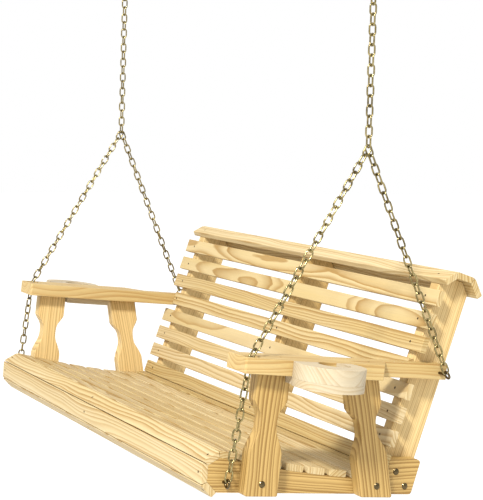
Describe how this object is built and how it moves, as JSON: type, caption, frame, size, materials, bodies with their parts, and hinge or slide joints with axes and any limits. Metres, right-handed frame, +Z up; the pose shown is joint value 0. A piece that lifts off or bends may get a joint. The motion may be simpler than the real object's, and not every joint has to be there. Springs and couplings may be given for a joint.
{
  "type": "porch swing",
  "caption": "Hanging wooden porch swing with a dished slatted seat, a leaning slatted back, rolled slat edges, arms with cup holders and forked chains to ceiling hangers.",
  "frame": {"origin": "in the ceiling plane, at the middle of the pattern of hanger screw holes", "axes": "+Z up, +Y towards the back of the swing, so a sitter faces -Y; +X along the seat towards the end that names call right, as seen from in front"},
  "size_m": [1.928, 0.797, 1.4165],
  "materials": {
    "slat_wood": "raw planed pine, matt, clear straight and arched grain",
    "frame_wood": "raw planed pine, matt, strong straight grain",
    "arm_wood": "raw planed pine, matt, rounded edges",
    "cup_holder_wood": "raw pale pine, matt",
    "chain_metal": "yellow zinc plated welded steel wire, satin",
    "bolt_metal": "zinc plated steel, satin",
    "screw_metal": "dark coated screw steel",
    "hanger_metal": "zinc plated steel, satin"
  },
  "bodies": {
    "ceiling_mount": {"ceiling_hanger_right": "hanger_metal", "ceiling_hanger_left": "hanger_metal"},
    "top_link_right_body": {"top_link_right": "chain_metal"},
    "top_link_left_body": {"top_link_left": "chain_metal"},
    "chain_right": {"upper_chain_right": "chain_metal"},
    "chain_left": {"upper_chain_left": "chain_metal"},
    "yoke_right": {"yoke_link_right": "chain_metal"},
    "yoke_left": {"yoke_link_left": "chain_metal"},
    "seat": {"arm_screws": "screw_metal", "armrest_left": "arm_wood", "armrest_right": "arm_wood", "back_roll_slat_1": "slat_wood", "back_roll_slat_2": "slat_wood", "back_roll_slat_3": "slat_wood", "back_slat_1": "slat_wood", "back_slat_2": "slat_wood", "back_slat_3": "slat_wood", "back_slat_4": "slat_wood", "back_slat_5": "slat_wood", "back_slat_6": "slat_wood", "back_slat_7": "slat_wood", "back_slat_8": "slat_wood", "back_support_left": "frame_wood", "back_support_middle": "frame_wood", "back_support_right": "frame_wood", "carriage_bolts": "bolt_metal", "cup_holder_floor_left": "cup_holder_wood", "cup_holder_floor_right": "cup_holder_wood", "cup_holder_ring_left": "cup_holder_wood", "cup_holder_ring_right": "cup_holder_wood", "front_arm_post_left": "frame_wood", "front_arm_post_right": "frame_wood", "front_eye_bolt_left": "bolt_metal", "front_eye_bolt_right": "bolt_metal", "front_leg_chain_left": "chain_metal", "front_leg_chain_right": "chain_metal", "front_roll_slat_1": "slat_wood", "front_roll_slat_2": "slat_wood", "front_roll_slat_3": "slat_wood", "front_roll_slat_4": "slat_wood", "hex_nuts": "bolt_metal", "rear_arm_post_left": "frame_wood", "rear_arm_post_right": "frame_wood", "rear_eye_bolt_left": "bolt_metal", "rear_eye_bolt_right": "bolt_metal", "rear_leg_chain_left": "chain_metal", "rear_leg_chain_right": "chain_metal", "seat_rail_left": "frame_wood", "seat_rail_middle": "frame_wood", "seat_rail_right": "frame_wood", "seat_slat_1": "slat_wood", "seat_slat_2": "slat_wood", "seat_slat_3": "slat_wood", "seat_slat_4": "slat_wood", "seat_slat_5": "slat_wood", "seat_slat_6": "slat_wood", "seat_slat_7": "slat_wood", "slat_screws": "screw_metal", "washers": "bolt_metal"}
  },
  "joints": [
    {"name": "swing_right", "type": "hinge", "parent": "ceiling_mount", "child": "top_link_right_body", "pos_m": [0.797, 0, -0.031], "axis": [1, 0, 0], "range_deg": [-30, 30]},
    {"name": "sway_right", "type": "hinge", "parent": "top_link_right_body", "child": "chain_right", "pos_m": [0.797, 0, -0.0549], "axis": [0, 1, 0], "range_deg": [-8, 8]},
    {"name": "yoke_level_right", "type": "hinge", "parent": "chain_right", "child": "yoke_right", "pos_m": [0.797, 0, -0.5049], "axis": [0, 1, 0], "range_deg": [-8, 8]},
    {"name": "swing_left", "type": "hinge", "parent": "ceiling_mount", "child": "top_link_left_body", "pos_m": [-0.797, 0, -0.031], "axis": [1, 0, 0], "range_deg": [-30, 30]},
    {"name": "sway_left", "type": "hinge", "parent": "top_link_left_body", "child": "chain_left", "pos_m": [-0.797, 0, -0.0549], "axis": [0, 1, 0], "range_deg": [-8, 8]},
    {"name": "yoke_level_left", "type": "hinge", "parent": "chain_left", "child": "yoke_left", "pos_m": [-0.797, 0, -0.5049], "axis": [0, 1, 0], "range_deg": [-8, 8]},
    {"name": "seat_tilt", "type": "hinge", "parent": "yoke_right", "child": "seat", "pos_m": [0.797, 0, -0.5299], "axis": [1, 0, 0], "range_deg": [-10, 10]}
  ],
  "couplings": [
    {"joint": "swing_left", "follows": "swing_right", "ratio": 1},
    {"joint": "sway_left", "follows": "sway_right", "ratio": 1},
    {"joint": "yoke_level_right", "follows": "sway_right", "ratio": -1},
    {"joint": "yoke_level_left", "follows": "sway_right", "ratio": -1}
  ]
}
